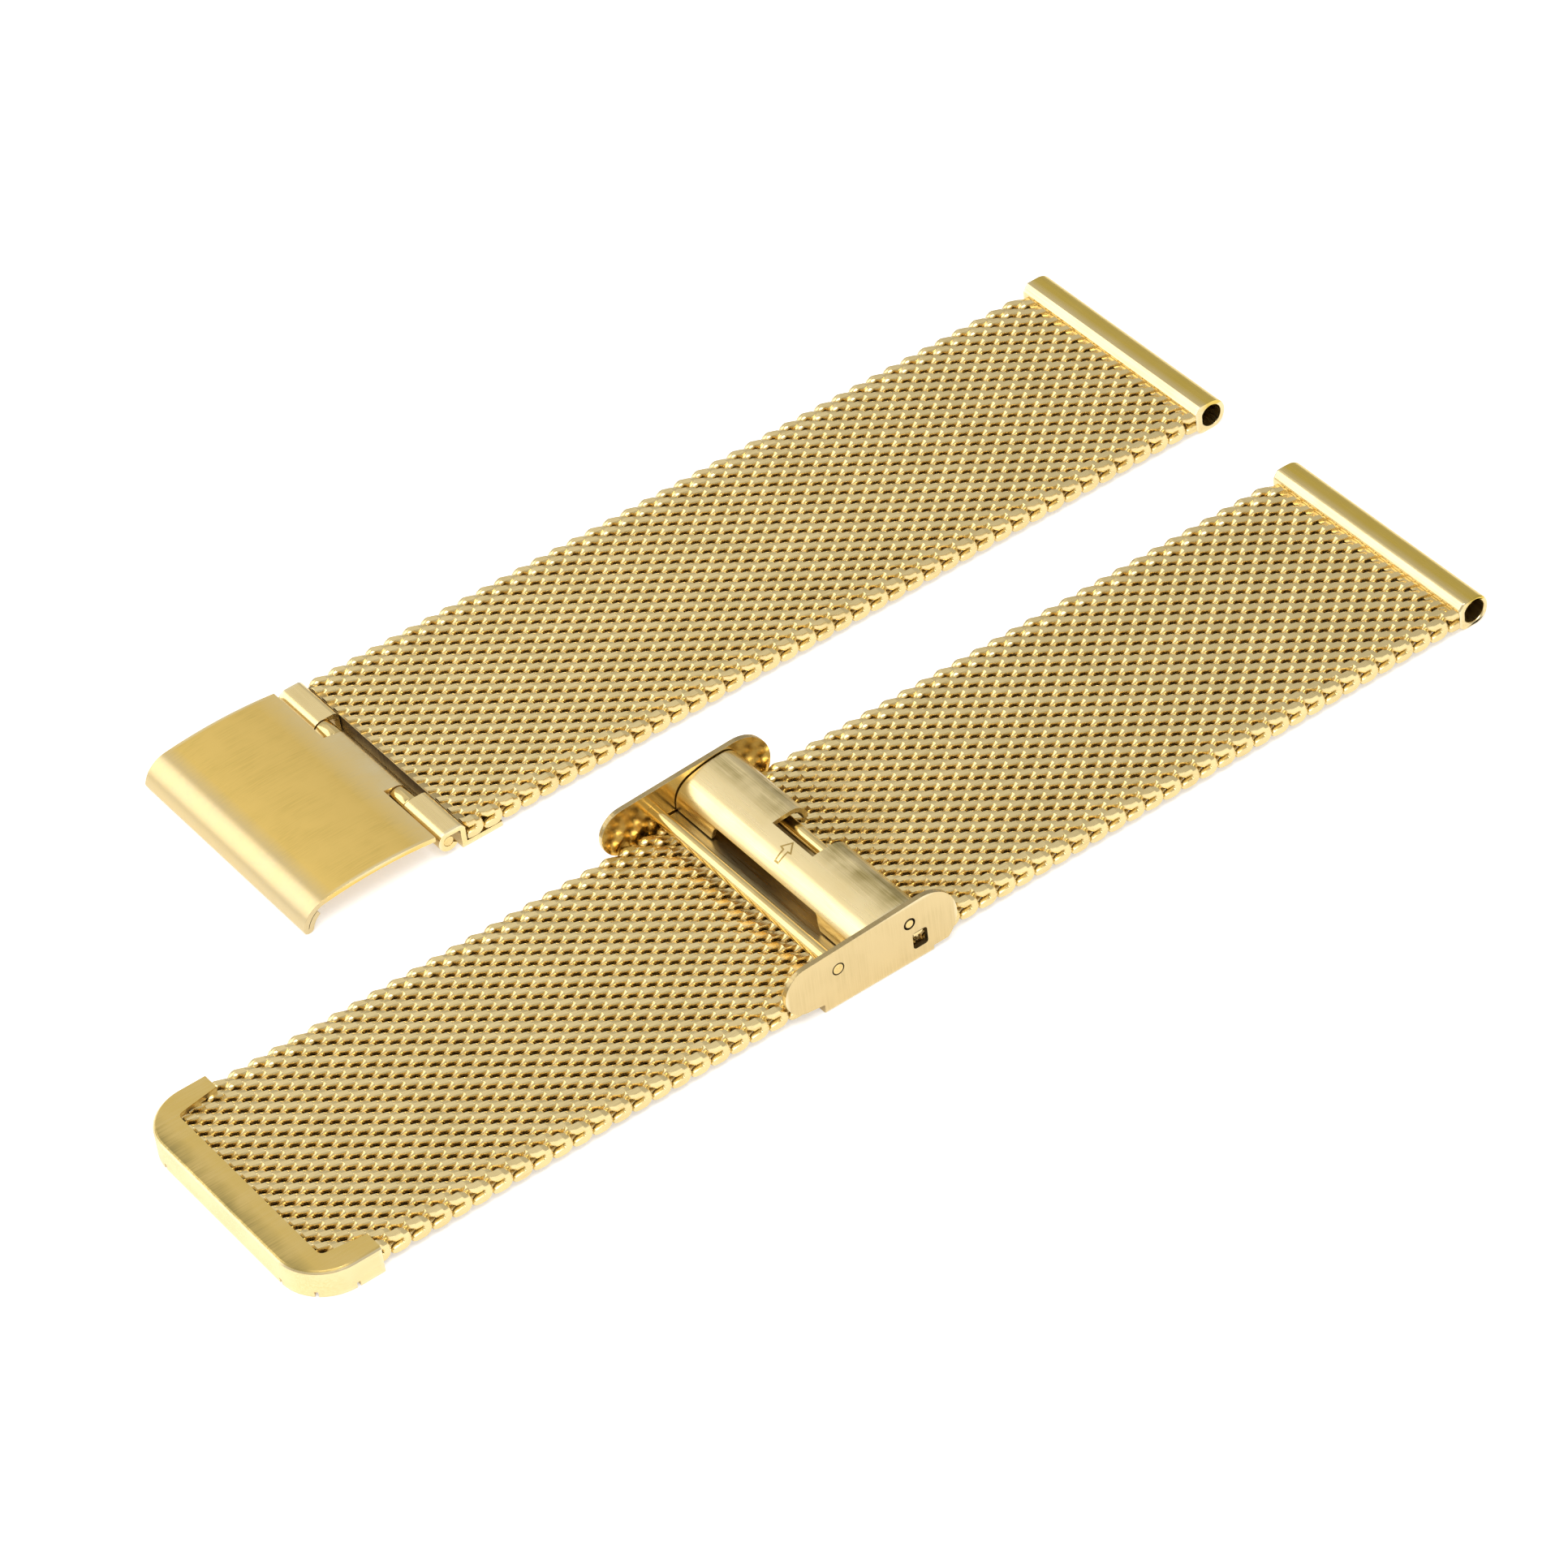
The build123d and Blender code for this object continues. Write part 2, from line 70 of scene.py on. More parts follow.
back = Vector((
    math.sin(CAMERA_AZIMUTH) * math.cos(CAMERA_ELEVATION),
    -math.cos(CAMERA_AZIMUTH) * math.cos(CAMERA_ELEVATION),
    math.sin(CAMERA_ELEVATION)))
level = Vector((math.cos(CAMERA_AZIMUTH), math.sin(CAMERA_AZIMUTH), 0))
upright = back.cross(level)
right = level * math.cos(CAMERA_ROLL) + upright * math.sin(CAMERA_ROLL)
up = upright * math.cos(CAMERA_ROLL) - level * math.sin(CAMERA_ROLL)
place = back * CAMERA_DISTANCE + right * CAMERA_RIGHT + up * CAMERA_UP
bpy.ops.object.camera_add()
camera = bpy.context.object
camera.name = "camera"
camera.matrix_world = Matrix.Translation(place) @ Matrix((right, up, back)).transposed().to_4x4()
camera.data.lens = LENS
camera.data.sensor_width = SENSOR
camera.data.clip_start = CLIP_START
bpy.context.scene.camera = camera
print("camera", tuple(round(v, 4) for v in place))

# %% [markdown]
# The floor is plain white paper. Stronger lamps would whiten it, but they would bleach the gold as
# well. So the paper glows a little where the camera or a mirror-like surface sees it, and keeps the
# straps' soft shadow. Two small helpers make a chain of nodes read like a sum.

# %% Floor
FLOOR_SIZE = 3.0  # metres
PAPER_GREY = 0.9
PAPER_ROUGHNESS = 0.9
SEEN_GLOW = 0.45
MIRRORED_GLOW = 0.25


def feed(tree, socket, value):
    """Gives a socket a plain value, or the link from another socket."""
    if isinstance(value, bpy.types.NodeSocket):
        tree.links.new(value, socket)
    else:
        socket.default_value = value


def math_node(tree, operation, *values):
    """A Math node on sockets or numbers; gives its output."""
    node = tree.nodes.new("ShaderNodeMath")
    node.operation = operation
    for socket, value in zip(node.inputs, values):
        feed(tree, socket, value)
    return node.outputs["Value"]


bpy.ops.mesh.primitive_plane_add(size=FLOOR_SIZE)
floor = bpy.context.object
floor.name = "floor"
paper = bpy.data.materials.new("paper")
paper.use_nodes = True
paper_tree = paper.node_tree
paper_shader = paper_tree.nodes["Principled BSDF"]
paper_shader.inputs["Base Color"].default_value = (PAPER_GREY, PAPER_GREY, PAPER_GREY, 1)
paper_shader.inputs["Roughness"].default_value = PAPER_ROUGHNESS
paper_shader.inputs["Emission Color"].default_value = (1, 1, 1, 1)
ray = paper_tree.nodes.new("ShaderNodeLightPath")
mirrored = math_node(paper_tree, "MULTIPLY", ray.outputs["Is Glossy Ray"], MIRRORED_GLOW)
glow = math_node(paper_tree, "MULTIPLY_ADD", ray.outputs["Is Camera Ray"], SEEN_GLOW, mirrored)
paper_tree.links.new(glow, paper_shader.inputs["Emission Strength"])
floor.data.materials.append(paper)
print("floor", FLOOR_SIZE, "m wide")

# %% [markdown]
# Polished metal shows mostly what it mirrors, so a small lamp would leave it black with one hot
# spot. A pale sky and large soft boxes give broad, even reflections: one box stands above for the
# flats, one far to the left for the rounded ends, and a weak one at the back.

# %% Light
SKY_STRENGTH = 0.55
# Name, place and size in metres, power in watts. Each box is turned to the straps.
SOFT_BOXES = (
    ("box_above", (-0.1, -0.15, 0.5), (0.4, 0.3), 1.6),
    ("box_left_far", (-0.31, 0.38, 0.31), (0.46, 0.5), 1.05),
    ("box_far", (0.05, 0.42, 0.46), (0.5, 0.4), 0.15))

bpy.context.scene.view_settings.view_transform = "Standard"
world = bpy.data.worlds.new("studio")
bpy.context.scene.world = world
world.use_nodes = True
sky = world.node_tree.nodes["Background"]
sky.inputs["Color"].default_value = (1, 1, 1, 1)
sky.inputs["Strength"].default_value = SKY_STRENGTH
for name, spot, size, power in SOFT_BOXES:
    bpy.ops.object.light_add(type="AREA", location=spot)
    lamp = bpy.context.object
    lamp.name = name
    lamp.data.shape = "RECTANGLE"
    lamp.data.size, lamp.data.size_y = size
    lamp.data.energy = power
    lamp.rotation_euler = (-Vector(spot)).to_track_quat("-Z", "Y").to_euler()
    print(name, "at", spot)

# %% [markdown]
# All the metal is brass with a gold finish. Its brushed grain is in every material, so it is a node
# group with a named input, built once. An image of scratches would do too, but noise that is drawn
# out along one axis needs no image and stays sharp from near. It reads Object coordinates, which
# stay on the piece when it moves.

# %% Brushed grain
PATCH_SCALE = 420.0  # patches of about 2.4 mm
STREAK_DETAIL, PATCH_DETAIL = 3.0, 2.0
STREAK_RANGE, PATCH_RANGE = (0.3, 0.7), (0.35, 0.65)


def node_group(name, inputs, outputs):
    """An empty shader node group with named sockets; gives the group and its two end nodes."""
    group = bpy.data.node_groups.new(name, "ShaderNodeTree")
    for label, kind in inputs:
        group.interface.new_socket(name=label, in_out="INPUT", socket_type=kind)
    for label, kind in outputs:
        group.interface.new_socket(name=label, in_out="OUTPUT", socket_type=kind)
    return group, group.nodes.new("NodeGroupInput"), group.nodes.new("NodeGroupOutput")


def object_place(tree):
    """The place of a point in the piece's own coordinates."""
    return tree.nodes.new("ShaderNodeTexCoord").outputs["Object"]


def vector_node(tree, operation, first, second):
    """A Vector Math node on two sockets; gives its output."""
    node = tree.nodes.new("ShaderNodeVectorMath")
    node.operation = operation
    feed(tree, node.inputs[0], first)
    feed(tree, node.inputs[1], second)
    return node.outputs["Vector"]


def ramp_node(tree, value, start, end, low=0.0, high=1.0):
    """A value carried from start and end to low and high, and held there; gives its output."""
    node = tree.nodes.new("ShaderNodeMapRange")
    labels = ("Value", "From Min", "From Max", "To Min", "To Max")
    for label, number in zip(labels, (value, start, end, low, high)):
        feed(tree, node.inputs[label], number)
    return node.outputs["Result"]


def noise_node(tree, place, scale, detail):
    """A noise over a place; gives its factor."""
    node = tree.nodes.new("ShaderNodeTexNoise")
    node.inputs["Scale"].default_value = scale
    node.inputs["Detail"].default_value = detail
    feed(tree, node.inputs["Vector"], place)
    return node.outputs["Fac"]


def grain_group():
    """Brushed grain: fine streaks drawn out along one axis, and soft patches between them."""
    group, ends_in, ends_out = node_group(
        "brushed_grain", [("Stretch", "NodeSocketVector")],
        [("Streaks", "NodeSocketFloat"), ("Patches", "NodeSocketFloat")])
    place = object_place(group)
    drawn = vector_node(group, "MULTIPLY", place, ends_in.outputs["Stretch"])
    streaks = ramp_node(group, noise_node(group, drawn, 1.0, STREAK_DETAIL), *STREAK_RANGE)
    patches = ramp_node(group, noise_node(group, place, PATCH_SCALE, PATCH_DETAIL), *PATCH_RANGE)
    group.links.new(streaks, ends_out.inputs["Streaks"])
    group.links.new(patches, ends_out.inputs["Patches"])
    return group


GRAIN = grain_group()
print("group", GRAIN.name)

# %% [markdown]
# Handling rubs the finish thin along the rims of a plate. Geometry's Pointiness could find rims,
# but it depends on how finely a mesh is cut. Here a rim is where two sides of the piece's box are
# near: of the three distances to a side, the middle one is small.

# %% Worn rims


def split_axes(tree, vector):
    """The x, y and z of a vector socket."""
    node = tree.nodes.new("ShaderNodeSeparateXYZ")
    feed(tree, node.inputs["Vector"], vector)
    return tuple(node.outputs)


def rim_group():
    """Worn rim of a boxy piece: 1 where two sides of the given box are near, 0 in the middle."""
    group, ends_in, ends_out = node_group(
        "worn_rim",
        [("Low", "NodeSocketVector"), ("High", "NodeSocketVector"), ("Width", "NodeSocketFloat")],
        [("Rim", "NodeSocketFloat")])
    place = object_place(group)
    from_low = vector_node(group, "SUBTRACT", place, ends_in.outputs["Low"])
    from_high = vector_node(group, "SUBTRACT", ends_in.outputs["High"], place)
    x, y, z = split_axes(group, vector_node(group, "MINIMUM", from_low, from_high))
    least = math_node(group, "MINIMUM", math_node(group, "MINIMUM", x, y), z)
    most = math_node(group, "MAXIMUM", math_node(group, "MAXIMUM", x, y), z)
    total = math_node(group, "ADD", math_node(group, "ADD", x, y), z)
    middle = math_node(group, "SUBTRACT", math_node(group, "SUBTRACT", total, least), most)
    share = math_node(group, "DIVIDE", middle, ends_in.outputs["Width"])
    group.links.new(ramp_node(group, share, 0.0, 1.0, 1.0, 0.0), ends_out.inputs["Rim"])
    return group


RIM = rim_group()
print("group", RIM.name)

# %% [markdown]
# Along one end of a piece, above a height, the colour is painted darker or paler in streaks: painted
# shade where a part turns from the lamps, painted highlights where it catches them, and on the flap,
# where fingers open the clasp, wear as well. A painted mask would show this, but several materials
# need it at their own places, so it is a third group. It grows along x, starts at a height, and is
# broken up by the grain's own streaks and patches.

# %% Stretches of painted light and wear
TOP_BLUR = 0.05 * MM  # how softly the top layer begins
PATCHY_RANGE = (0.2, 1.6)
LIGHT_AND_WEAR_INPUTS = ("Start", "End", "Above", "Mottle", "Streaks", "Patches")


def light_and_wear_group():
    """Stretch of painted light, and of wear on the flap: 0 at Start to 1 at End along x, above a
    height. Mottle: how patchy it is.
    """
    group, ends_in, ends_out = node_group(
        "light_and_wear_stretch", [(label, "NodeSocketFloat") for label in LIGHT_AND_WEAR_INPUTS],
        [("Share", "NodeSocketFloat")])
    sockets = [ends_in.outputs[label] for label in LIGHT_AND_WEAR_INPUTS]
    start, end, above, mottle, streaks, patches = sockets
    x, _, z = split_axes(group, object_place(group))
    raised = ramp_node(group, z, above, math_node(group, "ADD", above, TOP_BLUR))
    reached = math_node(group, "MULTIPLY", ramp_node(group, x, start, end), raised)
    least = math_node(group, "SUBTRACT", 1.0, mottle)
    patchy = ramp_node(group, math_node(group, "ADD", patches, streaks), *PATCHY_RANGE, least, 1.0)
    share = math_node(group, "MULTIPLY", reached, patchy)
    group.links.new(share, ends_out.inputs["Share"])
    return group


LIGHT_AND_WEAR = light_and_wear_group()
print("group", LIGHT_AND_WEAR.name)

# %% [markdown]
# Each finish mixes a bright and a dull gold by the grain and the patches. One flat gold would look
# like paint. The grain also sways the roughness and lifts a very shallow bump, so that highlights
# break into streaks. The Principled shader stays in the material, and only masks come from groups.

# %% Gold
LONG, FINE = 260, 9000  # noise per metre along the streaks and across them
ALONG = {"x": (LONG, FINE, FINE), "y": (FINE, LONG, FINE), "z": (FINE, FINE, LONG)}


def mix_node(tree, share, first, second):
    """A colour mix by a socket; first and second are colours or sockets. Gives its output."""
    node = tree.nodes.new("ShaderNodeMix")
    node.data_type = "RGBA"
    tree.links.new(share, node.inputs["Factor"])
    for socket, value in ((node.inputs[6], first), (node.inputs[7], second)):
        feed(tree, socket, (*value, 1) if isinstance(value, tuple) else value)
    return node.outputs[2]


def place_group(tree, group, values):
    """A node group placed in a material with its own values; gives its node."""
    node = tree.nodes.new("ShaderNodeGroup")
    node.node_tree = group
    for label, value in values.items():
        feed(tree, node.inputs[label], value)
    return node


def gold(name, bright, dull, roughness, grain, depth, sway):
    """Gold with a brushed grain along an axis; gives the material."""
    material = bpy.data.materials.new(name)
    material.use_nodes = True
    tree = material.node_tree
    shader = tree.nodes["Principled BSDF"]
    shader.inputs["Metallic"].default_value = 1.0
    brushed = place_group(tree, GRAIN, {"Stretch": ALONG[grain]})
    brushed.name = "brushed"
    streaks = brushed.outputs["Streaks"]
    both = math_node(tree, "MULTIPLY", streaks, brushed.outputs["Patches"])
    tree.links.new(mix_node(tree, both, bright, dull), shader.inputs["Base Color"])
    swayed = ramp_node(tree, streaks, 0.0, 1.0, roughness - sway, roughness + sway)
    tree.links.new(swayed, shader.inputs["Roughness"])
    bump = tree.nodes.new("ShaderNodeBump")
    bump.inputs["Strength"].default_value = 1.0
    bump.inputs["Distance"].default_value = depth
    tree.links.new(streaks, bump.inputs["Height"])
    tree.links.new(bump.outputs["Normal"], shader.inputs["Normal"])
    return material


POLISHED = gold(
    "polished_gold", bright=(0.86, 0.66, 0.29), dull=(0.74, 0.52, 0.19),
    roughness=0.16, grain="y", depth=0.0004 * MM, sway=0.05)
# Dark brown gold: painted shade in grooves, side windows and the slot at the clasp.
PAINTED_SHADE = gold(
    "painted_shade_dark", bright=(0.16, 0.11, 0.05), dull=(0.10, 0.07, 0.03),
    roughness=0.5, grain="z", depth=0.001 * MM, sway=0.05)
# Darkened gold: painted shade on the hidden clamp, the slider's upper rims and the solder at the
# clasp.
SHADED_GOLD = gold(
    "shaded_gold", bright=(0.50, 0.38, 0.18), dull=(0.36, 0.27, 0.12),
    roughness=0.3, grain="y", depth=0.001 * MM, sway=0.08)
ENGRAVED = gold(
    "engraved_gold", bright=(0.50, 0.34, 0.11), dull=(0.36, 0.24, 0.07),
    roughness=0.4, grain="y", depth=0.001 * MM, sway=0.08)
print("materials", [material.name for material in (POLISHED, PAINTED_SHADE, SHADED_GOLD, ENGRAVED)])

# %% [markdown]
# Deep in the weave the wire lies in shade, since little light gets there, and the shade is painted
# into its colour as brown. Ambient occlusion would find such places, but it is slow and differs from
# view to view. A mask by height does it: the wire is painted dark near the middle of the mesh's
# thickness, except along a strap's edges, where the loops lie open. From here on, plain numbers are
# millimetres, and MM makes them metres.

# %% Mesh gold
MESH_MIDDLE = 1.15  # height of the wire's middle above the floor
RECESS_DARK, RECESS_CLEAR = 0.15, 0.5  # dark so near to that height, and clear so far from it
EDGE_FROM, EDGE_TO = 8.8, 9.2  # the mask ends so far from a strap's middle line
STRAP_ASIDE = 14.5  # that line's distance from y = 0
SHADE_BROWN = (0.26, 0.17, 0.07)


def lay_over(material, share, colour):
    """Mixes a colour over a material's own, as far as a mask says."""
    tree = material.node_tree
    base = tree.nodes["Principled BSDF"].inputs["Base Color"]
    tree.links.new(mix_node(tree, share, base.links[0].from_socket, colour), base)


MESH_GOLD = gold(
    "mesh_gold", bright=(0.92, 0.73, 0.36), dull=(0.78, 0.61, 0.28),
    roughness=0.26, grain="x", depth=0.002 * MM, sway=0.08)
mesh_tree = MESH_GOLD.node_tree
_, wire_y, wire_z = split_axes(mesh_tree, object_place(mesh_tree))
height = math_node(mesh_tree, "SUBTRACT", wire_z, MESH_MIDDLE * MM)
height = math_node(mesh_tree, "ABSOLUTE", height)
in_shade = ramp_node(mesh_tree, height, RECESS_DARK * MM, RECESS_CLEAR * MM, 1.0, 0.0)
aside = math_node(mesh_tree, "ABSOLUTE", wire_y)
aside = math_node(mesh_tree, "SUBTRACT", aside, STRAP_ASIDE * MM)
aside = math_node(mesh_tree, "ABSOLUTE", aside)
inner = ramp_node(mesh_tree, aside, EDGE_FROM * MM, EDGE_TO * MM, 1.0, 0.0)
# Painted shade: the wire is browned deep in the weave.
lay_over(MESH_GOLD, math_node(mesh_tree, "MULTIPLY", in_shade, inner), SHADE_BROWN)
print("material", MESH_GOLD.name)

# %% [markdown]
# The mesh is woven from flattened wire spirals that lie across the strap. Each spiral threads
# through its neighbours, and every other one sits half a turn along. The path of one wire is listed
# as stations: a strand on top, a bend, a strand below, a bend, and a nearly closed loop at each
# edge of the strap. Each has its x and z, the angle of the wire and how far it moves along y.

# %% The path of a wire
TURN_PITCH = 1.4  # one turn of the wire, across the strap
TURNS = 13
STRAND_END = 0.2
RISE = 0.47  # a strand's height over the wire's middle
STRAND_ADVANCE = 0.15  # advances are in turns
# x, z, angle in degrees and advance of each station of a bend.
BEND = (
    (0.60, 0.38, 35, 0.09), (0.91, 0.0, 90, 0.085),
    (0.62, -0.20, 130, 0.085), (0.50, -0.47, 180, 0.09))
EDGE_ANGLES = (0, 20, 45, 70, 90, 110, 135, 160, 180)
EDGE_ADVANCE = 0.016
EDGE_RISE = 0.4
EDGE_INNER = 0.35
EDGE_WIDE = 0.72
EDGE_SCALE = 1.25
EDGE_START = (-0.1, 0.14)  # x and advance
# x and scale of the stations of the wire's tucked end, which gets thinner.
EDGE_TIP = ((0.0, 1.2), (-0.3, 1.0), (-0.5, 0.65), (-0.58, 0.25))


def half_turn(side):
    """A strand and the bend after it: x, z, angle, advance and scale. side is 1 on top."""
    start = 0 if side > 0 else 180
    strand = (side * STRAND_END, side * RISE, start, STRAND_ADVANCE, 1.0)
    bend = [(side * x, side * z, start + angle, advance, 1.0) for x, z, angle, advance in BEND]
    return [strand] + bend


def edge_loop():
    """The last bend of the wire at an edge, nearly closed, and its end tucked back under it."""
    x_start, advance = EDGE_START
    stations = [(x_start, EDGE_RISE, 0, advance, EDGE_SCALE)]
    for angle in EDGE_ANGLES:
        bend = math.radians(angle)
        x = EDGE_INNER + (EDGE_WIDE - EDGE_INNER) * math.sin(bend)
        stations.append((x, EDGE_RISE * math.cos(bend), angle, EDGE_ADVANCE, EDGE_SCALE))
    return stations + [(x, -EDGE_RISE, 180, EDGE_ADVANCE, scale) for x, scale in EDGE_TIP]


def spiral_stations(turns):
    """Place, angle and scale of every section of a spiral, from one edge to the other."""
    loop = edge_loop()
    lead_in = [
        (-x, z, math.radians(360 - angle), advance, scale)
        for x, z, angle, advance, scale in reversed(loop[1:])]
    path = lead_in + [
        (x, z, math.radians(angle), advance, scale)
        for x, z, angle, advance, scale in turns * (half_turn(1) + half_turn(-1)) + loop]
    y = 0.0
    stations = []
    for x, z, angle, advance, scale in path:
        y -= advance * TURN_PITCH
        stations.append((x, y, z, angle, scale))
    return [(x, y_here - y / 2, z, angle, scale) for x, y_here, z, angle, scale in stations]


print("stations", len(spiral_stations(TURNS)))

# %% [markdown]
# A curve with a bevel would follow the stations too, but it twists where the wire doubles back. So
# an eight-sided section is extruded from station to station and turned at each, as by hand. It is
# repeated hundreds of times, so it has few faces, and smooth shading makes it round.

# %% One wire spiral
WIRE_RADIUS = 0.31
WIRE_SIDES = 8


def deselect():
    """Leaves nothing selected, so that an operator acts only on what comes next."""
    if bpy.context.object and bpy.context.object.mode == "EDIT":
        bpy.ops.object.mode_set(mode="OBJECT")
    bpy.ops.object.select_all(action="DESELECT")


def spiral(turns):
    """One closed wire spiral across the strap, centred on the origin."""
    stations = spiral_stations(turns)
    x, y, z, angle, scale = stations[0]
    deselect()
    bpy.ops.mesh.primitive_circle_add(
        vertices=WIRE_SIDES, radius=WIRE_RADIUS * scale * MM, fill_type="NGON",
        location=(x * MM, y * MM, z * MM), rotation=(0, math.pi / 2, 0))
    wire = bpy.context.object
    bpy.ops.object.transform_apply(location=True, rotation=True, scale=True)
    bpy.ops.object.mode_set(mode="EDIT")
    bpy.ops.mesh.select_all(action="SELECT")
    for x_next, y_next, z_next, angle_next, scale_next in stations[1:]:
        step = ((x_next - x) * MM, (y_next - y) * MM, (z_next - z) * MM)
        centre = (x_next * MM, y_next * MM, z_next * MM)
        turn = (angle - angle_next + math.pi) % (2 * math.pi) - math.pi
        bpy.ops.mesh.extrude_region_move(TRANSFORM_OT_translate={"value": step})
        if turn:
            bpy.ops.transform.rotate(value=turn, orient_axis="Y", center_override=centre)
        if scale_next != scale:
            bpy.ops.transform.resize(value=3 * [scale_next / scale], center_override=centre)
        x, y, z, angle, scale = x_next, y_next, z_next, angle_next, scale_next
    bpy.ops.mesh.select_all(action="SELECT")
    bpy.ops.mesh.normals_make_consistent(inside=False)
    bpy.ops.object.mode_set(mode="OBJECT")
    return wire


first_spiral = spiral(TURNS)
print("spiral faces", len(first_spiral.data.polygons))
print("spiral size", [round(v / MM, 3) for v in first_spiral.dimensions])

# %% [markdown]
# A real strap is rolled and its edges are ground, so every wire has small flats on top, below and
# at the edges. A boolean cut would make them too. Pressing what stands past a plane back onto it
# keeps the wire's faces as they are, and the rims of the flats are then marked sharp.

# %% Ground flats
MESH_HALF = 0.7  # half of the mesh's thickness
ROW_HALF = 9.6425  # half of a spiral's length
FLAT_LIMIT = 0.985  # a flat looks so squarely up, down or aside


def pick(piece):
    """Selects one piece alone and makes it active."""
    deselect()
    piece.select_set(True)
    bpy.context.view_layer.objects.active = piece


def choose(piece, kind, wanted):
    """Selects the vertices or polygons of a piece that a test wants, and stays in edit mode."""
    pick(piece)
    bpy.ops.object.mode_set(mode="EDIT")
    bpy.ops.mesh.select_all(action="DESELECT")
    bpy.ops.object.mode_set(mode="OBJECT")
    for element in getattr(piece.data, kind):
        element.select = wanted(element)
    bpy.ops.object.mode_set(mode="EDIT")


def press_flat(piece, axis, limit, beyond):
    """Presses what stands past a plane back onto it. beyond is 1 or -1, the side pressed."""
    flat = [1, 1, 1]
    flat[axis] = 0
    pivot = [0, 0, 0]
    pivot[axis] = limit * MM
    choose(piece, "vertices", lambda vertex: beyond * (vertex.co[axis] - limit * MM) > 0)
    bpy.ops.transform.resize(value=flat, center_override=pivot)
    bpy.ops.object.mode_set(mode="OBJECT")


def crisp_flats(piece):
    """Marks the rim of the ground flats sharp, so that they don't blend into the round wire."""
    choose(
        piece, "polygons",
        lambda face: max(abs(face.normal.y), abs(face.normal.z)) > FLAT_LIMIT)
    bpy.ops.mesh.select_mode(type="FACE")
    bpy.ops.mesh.region_to_loop()
    bpy.ops.mesh.mark_sharp()
    bpy.ops.mesh.select_mode(type="VERT")
    bpy.ops.object.mode_set(mode="OBJECT")


for side in (-1, 1):
    press_flat(first_spiral, 2, side * MESH_HALF, side)
    press_flat(first_spiral, 1, side * ROW_HALF, side)
crisp_flats(first_spiral)
print("ground spiral", [round(v / MM, 3) for v in first_spiral.dimensions])

# %% [markdown]
# A strap bends between short stiff lengths of mesh. Each length is a run of spirals that takes the
# place of one solid and rides on its body. Odd and even spirals sit half a turn apart, so each kind
# is one copy of the first spiral and an array of it, and the two arrays are joined.

# %% Weave the straps
SPIRAL_PITCH = 0.785
STAGGER = TURN_PITCH / 4  # to each side, so that neighbours lie half a turn apart
# Spirals in each link, from the clasp or the tail to the tube.
LINK_ROWS_A = 9 * [9]
LINK_ROWS_B = [11] + 4 * [9] + [20] + 6 * [9]
MESH_A_LINKS = [f"mesh_a_{number}" for number in range(1, 10)]
MESH_B_LINKS = [f"mesh_b_{number}" for number in range(1, 13)]
BODY_OF = {
    node: body for body, inside in frame["record"]["behaviour"]["bodies"].items()
    for node in inside}
a_low, a_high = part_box("lug_tube_a")
b_low, b_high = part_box("lug_tube_b")
BAND_A_Y = (a_low[1] + a_high[1]) / 2 / MM
BAND_B_Y = (b_low[1] + b_high[1]) / 2 / MM
TUBE_A_X = a_low[0] / MM
TUBE_B_X = b_low[0] / MM
MESH_A_X = TUBE_A_X - sum(LINK_ROWS_A) * SPIRAL_PITCH
MESH_B_X = TUBE_B_X - sum(LINK_ROWS_B) * SPIRAL_PITCH
print("strap A from", round(MESH_A_X, 3), "strap B from", round(MESH_B_X, 3))


def copy_at(piece, name, place):
    """A copy of a piece with its own mesh, moved by place in millimetres inside its mesh."""
    pick(piece)
    bpy.ops.object.duplicate()
    twin = bpy.context.object
    twin.name = name
    twin.location = [v * MM for v in place]
    bpy.ops.object.transform_apply(location=True, rotation=False, scale=False)
    return twin


def join(pieces, name):
    """Joins pieces into one object with the given name."""
    pick(pieces[0])
    for piece in pieces[1:]:
        piece.select_set(True)
    bpy.ops.object.join()
    pieces[0].name = name
    pieces[0].data.name = name
    return pieces[0]


def add_modifier(piece, kind, **settings):
    """Adds a modifier and applies it at once."""
    pick(piece)
    bpy.ops.object.modifier_add(type=kind)
    modifier = piece.modifiers[-1]
    for name, value in settings.items():
        setattr(modifier, name, value)
    bpy.ops.object.modifier_apply(modifier=modifier.name)


def row_run(start_x, first_row, rows, band_y, shift, name):
    """The spirals of one parity in a link: the first is placed, and the rest is an array of it."""
    wanted = [row for row in range(first_row, first_row + rows) if row % 2 == shift]
    side = 1 if shift else -1
    place = (start_x + (wanted[0] + 0.5) * SPIRAL_PITCH, band_y + side * STAGGER, MESH_MIDDLE)
    run = copy_at(first_spiral, name, place)
    add_modifier(
        run, "ARRAY", count=len(wanted), use_relative_offset=False, use_constant_offset=True,
        constant_offset_displace=(2 * SPIRAL_PITCH * MM, 0, 0))
    return run


def weave(names, counts, start_x, band_y):
    """Every link of a strap, in the place of its solid."""
    links = []
    first = 0
    for name, rows in zip(names, counts):
        runs = [row_run(start_x, first, rows, band_y, shift, name) for shift in (0, 1)]
        link = join(runs, name + "_wire")
        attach(link, BODY_OF[name])
        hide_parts(name)
        link.data.materials.clear()
        link.data.materials.append(MESH_GOLD)
        links.append(link)
        first += rows
    return links


links_a = weave(MESH_A_LINKS, LINK_ROWS_A, MESH_A_X, BAND_A_Y)
links_b = weave(MESH_B_LINKS, LINK_ROWS_B, MESH_B_X, BAND_B_Y)
bpy.data.objects.remove(first_spiral)
print("links", len(links_a), len(links_b), "rows", sum(LINK_ROWS_A) + sum(LINK_ROWS_B))

# %% [markdown]
# At its ends the mesh is cut to fit the metal: straight at the tubes and at the clasp, and round at
# the two corners that sit in the tail cap. The wire is pressed there as at the ground flats, so it
# stays closed and nothing runs into the metal.

# %% Mesh ends
CORNER_RADIUS = 3.0
WIRE_SMOOTH = math.radians(56)


